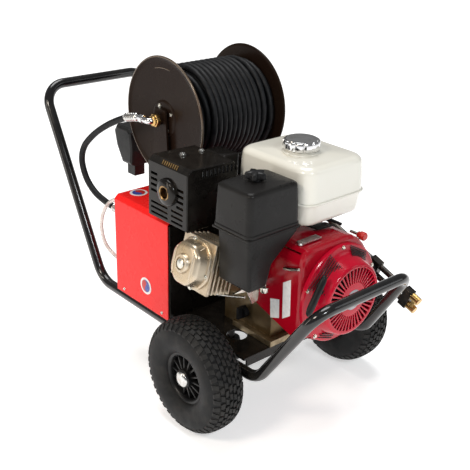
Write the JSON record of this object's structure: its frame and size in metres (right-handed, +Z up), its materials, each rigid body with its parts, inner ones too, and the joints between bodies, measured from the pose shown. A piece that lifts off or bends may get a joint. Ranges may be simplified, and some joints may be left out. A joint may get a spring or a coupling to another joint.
{
  "type": "pressure washer",
  "caption": "Petrol pressure washer on a two-wheeled tube frame, with a belt-driven pump under a red cover, a cranked hose reel and a stowed lance.",
  "frame": {"origin": "on the ground under the middle of the machine's box", "axes": "+Z up, +Y to the rear where the push handle is, -Y to the front bumper and recoil starter, +X to the right side with the lance and the reel's crank"},
  "size_m": [0.554, 0.9959, 0.732],
  "materials": {
    "black_tube": "gloss black powder coat",
    "black_sheet": "satin black paint",
    "foot_rubber": "matt",
    "tyre": "matt block tread",
    "rim_plastic": "moulded black",
    "black_plastic": "fine moulded grain",
    "cast_aluminium": "bead-blasted casting",
    "machined_steel": "machined",
    "engine_red": "deep gloss red",
    "tank_white": "gloss cream white",
    "chrome": "polished",
    "filter_foam": "pleated paper and foam",
    "hot_steel": "heat tinted",
    "belt_rubber": "matt",
    "brass": "machined",
    "red_plastic": "moulded",
    "cover_red": "smooth red powder coat",
    "hose_rubber": "matt wrapped cover",
    "clear_pvc": "clear tube"
  },
  "bodies": {
    "chassis": {"front_frame_tube": "black_tube", "rear_frame_tube": "black_tube", "deck_plate": "black_sheet", "axle": "black_sheet", "rear_stand": "black_sheet", "muffler_shield": "black_sheet", "bulkhead": "black_sheet", "reel_base": "black_sheet", "reel_arm_left": "black_sheet", "reel_arm_right": "black_sheet", "lance_holder": "black_sheet", "stand_foot_left": "foot_rubber", "stand_foot_right": "foot_rubber", "air_cleaner_cover": "black_plastic", "air_cleaner_elbow": "black_plastic", "oil_filler_plug": "black_plastic", "detergent_bottle": "black_plastic", "crankcase": "cast_aluminium", "cylinder_head": "cast_aluminium", "rocker_cover": "cast_aluminium", "carburettor": "cast_aluminium", "pump_crankcase": "cast_aluminium", "fan_shroud": "engine_red", "recoil_cover": "engine_red", "fuel_tank": "tank_white", "air_filter": "filter_foam", "muffler": "hot_steel", "drive_belt": "belt_rubber", "pump_manifold": "brass", "unloader_valve": "brass", "pressure_outlet": "brass", "water_inlet": "brass", "reel_swivel": "brass", "pump_cover": "cover_red", "link_hose": "hose_rubber", "detergent_hose": "clear_pvc"},
    "left_wheel": {"left_tyre": "tyre", "left_rim": "rim_plastic"},
    "right_wheel": {"right_tyre": "tyre", "right_rim": "rim_plastic"},
    "engine_rotor": {"crankshaft": "machined_steel", "flywheel": "machined_steel", "engine_pulley": "machined_steel"},
    "pump_rotor": {"pump_pulley": "machined_steel"},
    "starter_handle": {"starter_grip": "black_plastic"},
    "starter_pulley": {"recoil_pulley": "black_plastic"},
    "throttle": {"throttle_lever": "machined_steel"},
    "tank_cap": {"fuel_cap": "chrome"},
    "pressure_setting": {"pressure_knob": "red_plastic"},
    "reel": {"reel_drum": "black_sheet", "reel_flange_left": "black_sheet", "reel_flange_right": "black_sheet", "hose_winding": "hose_rubber", "reel_crank": "black_sheet"},
    "reel_grip": {"reel_crank_grip": "black_plastic"},
    "lance": {"lance_tubes": "machined_steel", "lance_nozzles": "brass", "gun_body": "black_plastic"},
    "lance_valve": {"lance_valve_grip": "black_plastic"},
    "trigger": {"gun_trigger": "red_plastic"}
  },
  "joints": [
    {"name": "left_wheel_spin", "type": "hinge", "parent": "chassis", "child": "left_wheel", "pos_m": [-0.233, -0.228, 0.13], "axis": [1, 0, 0], "continuous": true},
    {"name": "right_wheel_spin", "type": "hinge", "parent": "chassis", "child": "right_wheel", "pos_m": [0.233, -0.228, 0.13], "axis": [1, 0, 0], "continuous": true},
    {"name": "engine_spin", "type": "hinge", "parent": "chassis", "child": "engine_rotor", "pos_m": [0.035, -0.228, 0.3047], "axis": [0, 1, 0], "continuous": true},
    {"name": "pump_spin", "type": "hinge", "parent": "chassis", "child": "pump_rotor", "pos_m": [-0.095, -0.028, 0.3047], "axis": [0, 1, 0], "continuous": true},
    {"name": "starter_pull", "type": "slide", "parent": "chassis", "child": "starter_handle", "axis": [-0.866, 0, 0.5], "range_m": [0, 0.06], "stiffness_N_per_m": 60},
    {"name": "starter_pulley_turn", "type": "hinge", "parent": "chassis", "child": "starter_pulley", "pos_m": [0.035, -0.399, 0.3047], "axis": [0, 1, 0], "range_deg": [-63, 0]},
    {"name": "throttle_turn", "type": "hinge", "parent": "chassis", "child": "throttle", "pos_m": [-0.05, -0.346, 0.4483], "axis": [0, 0, 1], "range_deg": [0, 40]},
    {"name": "fuel_cap_turn", "type": "hinge", "parent": "chassis", "child": "tank_cap", "pos_m": [0.035, -0.2495, 0.605], "axis": [0, 0, 1], "range_deg": [0, 90]},
    {"name": "pressure_knob_turn", "type": "hinge", "parent": "chassis", "child": "pressure_setting", "pos_m": [-0.006, 0.03, 0.387], "axis": [0, 0, 1], "range_deg": [-270, 0]},
    {"name": "reel_spin", "type": "hinge", "parent": "chassis", "child": "reel", "pos_m": [0.076, 0.118, 0.586], "axis": [1, 0, 0], "continuous": true},
    {"name": "reel_grip_spin", "type": "hinge", "parent": "reel", "child": "reel_grip", "pos_m": [0.24, 0.118, 0.661], "axis": [1, 0, 0], "continuous": true},
    {"name": "lance_lift", "type": "slide", "parent": "chassis", "child": "lance", "axis": [0, 0, 1], "range_m": [0, 0.03]},
    {"name": "lance_valve_turn", "type": "hinge", "parent": "lance", "child": "lance_valve", "pos_m": [0.2, -0.317, 0.2798], "axis": [1, 0, 0], "range_deg": [0, 90]},
    {"name": "gun_trigger_pull", "type": "hinge", "parent": "lance", "child": "trigger", "pos_m": [0.236, 0.0569, 0.4249], "axis": [1, 0, 0], "range_deg": [0, 14], "stiffness_Nm_per_rad": 0.3}
  ],
  "couplings": [
    {"joint": "pump_spin", "follows": "engine_spin", "ratio": 0.5},
    {"joint": "starter_pulley_turn", "follows": "starter_pull", "rad_per_m": -18.18}
  ]
}
